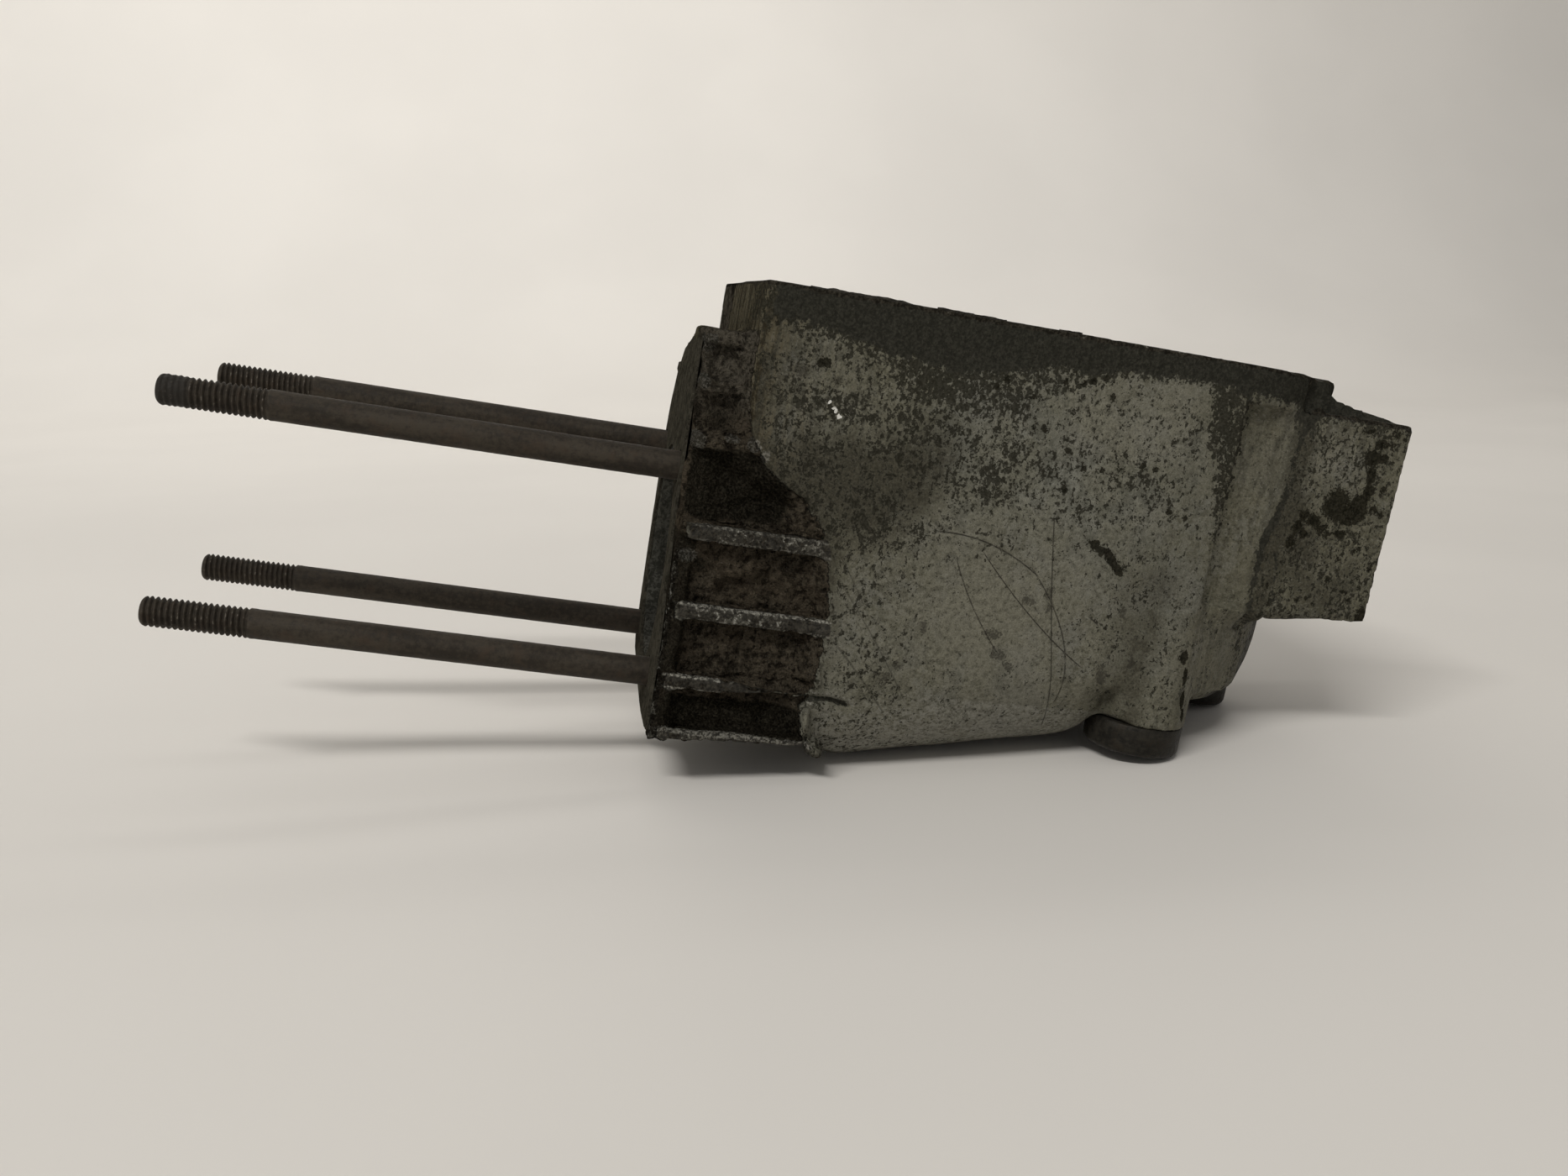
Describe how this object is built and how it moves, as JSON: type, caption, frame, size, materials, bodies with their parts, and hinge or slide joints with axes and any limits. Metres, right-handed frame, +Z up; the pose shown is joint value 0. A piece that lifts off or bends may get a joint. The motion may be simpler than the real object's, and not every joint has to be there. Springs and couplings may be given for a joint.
{
  "type": "engine block",
  "caption": "Bare cast-aluminium engine block with a ribbed neck, long cylinder studs, mounting bushes and an open crankcase for one cylinder.",
  "frame": {"origin": "on the bench under the middle of the bounding box, the block lying on its belly and its three bushes as in the picture", "axes": "+X from the stud tips towards the base, +Y away from the camera, +Z up; the block leans 10 degrees about Y, so the studs dip by 10 degrees towards the case"},
  "size_m": [0.333, 0.101, 0.1302],
  "materials": {
    "cast_aluminium": "dull oxidised grey-green casting with dark oil residue, worn rib edges and brown crust in the recesses",
    "stud_steel": "dark brown oxidised steel",
    "bush_steel": "dark oily steel",
    "bearing_bronze": "dull bearing bronze",
    "seal_rubber": "black rubber",
    "gasket_sheet": "oil-soaked fibre sheet",
    "gasket_remains": "black crumbling fibre sheet"
  },
  "bodies": {
    "root": {"crankcase": "cast_aluminium", "stud_upper_front": "stud_steel", "stud_upper_rear": "stud_steel", "stud_lower_front": "stud_steel", "stud_lower_rear": "stud_steel", "mounting_bush_front": "bush_steel", "mounting_bush_rear": "bush_steel", "mounting_bush_end": "bush_steel", "main_bush": "bearing_bronze", "oil_seal": "seal_rubber", "deck_gasket": "gasket_sheet", "cover_gasket_remains": "gasket_remains"}
  },
  "joints": []
}
